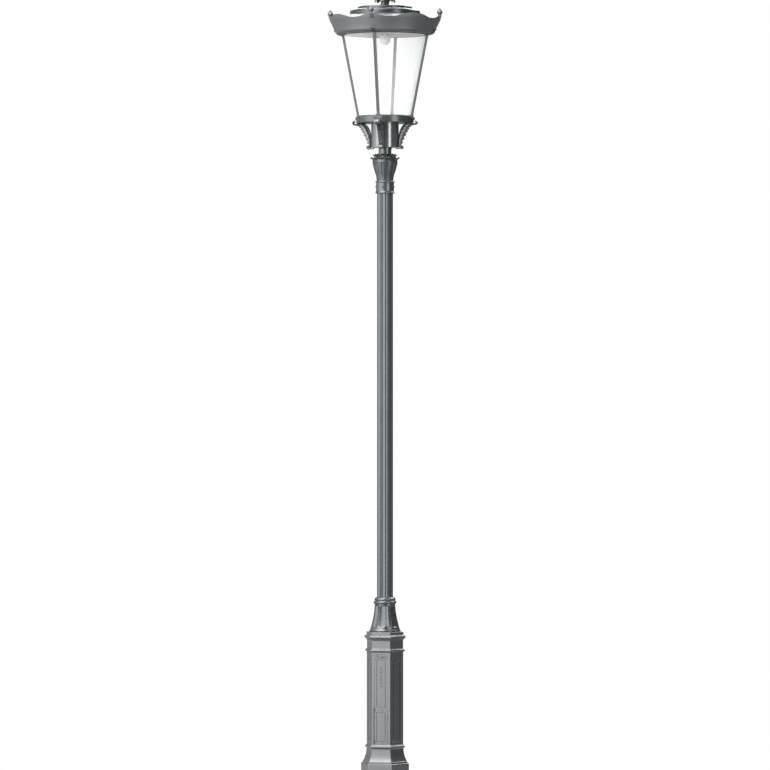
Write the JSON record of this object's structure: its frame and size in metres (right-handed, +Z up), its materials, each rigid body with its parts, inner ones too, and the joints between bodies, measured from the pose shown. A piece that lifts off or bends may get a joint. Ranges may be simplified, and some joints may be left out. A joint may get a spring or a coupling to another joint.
{
  "type": "street lamp post",
  "caption": "Hexagonal base with a service door, fluted column and a four-stay conical lantern whose roof lifts for relamping.",
  "frame": {"origin": "on the ground at the column's axis, under the centre of the base", "axes": "+Z up along the column, -Y out of the face with the service door, +X towards a corner of the hexagonal base"},
  "size_m": [0.757, 0.757, 5.155],
  "materials": {
    "base_paint": "satin",
    "post_paint": "satin",
    "stud_paint": "satin",
    "lantern_paint": "satin",
    "stay_paint": "satin",
    "roof_paint": "satin",
    "galvanised_steel": "matte",
    "hinge_steel": "satin",
    "brass_fitting": "satin",
    "sleeve_plastic": "matte",
    "clear_glazing": "gloss",
    "rubber_seal": "matte",
    "reflector_white": "satin",
    "holder_ceramic": "satin",
    "lamp_glass": "satin",
    "grey_plastic": "matte",
    "black_plastic": "matte",
    "gear_metal": "satin"
  },
  "bodies": {
    "post": {"ballast": "gear_metal", "base_cornice": "base_paint", "base_plinth": "base_paint", "base_shaft": "base_paint", "bell_neck": "base_paint", "bracket_1": "lantern_paint", "bracket_2": "lantern_paint", "bracket_3": "lantern_paint", "bracket_4": "lantern_paint", "cable_glands": "black_plastic", "capacitor": "gear_metal", "capital": "post_paint", "capital_leaves": "post_paint", "cartouche": "post_paint", "catch_keeper": "hinge_steel", "centring_sleeves": "sleeve_plastic", "collar": "post_paint", "collar_studs": "stud_paint", "column_tube": "post_paint", "core_tube": "galvanised_steel", "crown_band": "lantern_paint", "door_hinges": "hinge_steel", "earth_stud": "brass_fitting", "fuse_carriers": "black_plastic", "gear_housing": "lantern_paint", "gear_tray": "galvanised_steel", "glazing_cone": "clear_glazing", "glazing_gasket_lower": "rubber_seal", "glazing_gasket_upper": "rubber_seal", "ground_flange": "galvanised_steel", "ignitor": "grey_plastic", "lantern_spigot": "post_paint", "lower_ring": "lantern_paint", "roof_gasket": "rubber_seal", "roof_hinge_bracket": "hinge_steel", "small_finial_1": "lantern_paint", "small_finial_2": "lantern_paint", "small_finial_3": "lantern_paint", "small_finial_4": "lantern_paint", "stay_1": "stay_paint", "stay_2": "stay_paint", "stay_3": "stay_paint", "stay_4": "stay_paint", "terminal_block": "grey_plastic", "terminal_case": "grey_plastic"},
    "door": {"service_door": "base_paint"},
    "lock": {"door_lock": "brass_fitting"},
    "cover": {"terminal_cover": "grey_plastic"},
    "roof": {"roof_skirt": "roof_paint", "roof_tier_lower": "roof_paint", "roof_tier_upper": "roof_paint", "finial_base": "roof_paint", "finial_leaves": "roof_paint", "finial_bud": "roof_paint", "reflector_plate": "reflector_white", "lamp_holder": "holder_ceramic", "tray_standoffs": "galvanised_steel", "roof_hinge_leaf": "hinge_steel"},
    "catch": {"roof_catch": "hinge_steel"},
    "lamp": {"lamp": "lamp_glass"}
  },
  "joints": [
    {"name": "door_swing", "type": "hinge", "parent": "post", "child": "door", "pos_m": [-0.045, -0.10602, 0.355], "axis": [0, 0, -1], "range_deg": [0, 110]},
    {"name": "lock_turn", "type": "hinge", "parent": "door", "child": "lock", "pos_m": [0.0368, -0.1, 0.356], "axis": [0, 1, 0], "range_deg": [0, 90]},
    {"name": "cover_lift", "type": "slide", "parent": "post", "child": "cover", "axis": [0, 0, 1], "range_m": [0, 0.13]},
    {"name": "roof_lift", "type": "hinge", "parent": "post", "child": "roof", "pos_m": [0, 0.331, 4.884], "axis": [-1, 0, 0], "range_deg": [0, 60]},
    {"name": "catch_turn", "type": "hinge", "parent": "roof", "child": "catch", "pos_m": [0, -0.296, 4.87], "axis": [0, 0, -1], "range_deg": [0, 90]},
    {"name": "lamp_unscrew", "type": "slide", "parent": "roof", "child": "lamp", "axis": [0, 0, -1], "range_m": [0, 0.03]}
  ]
}
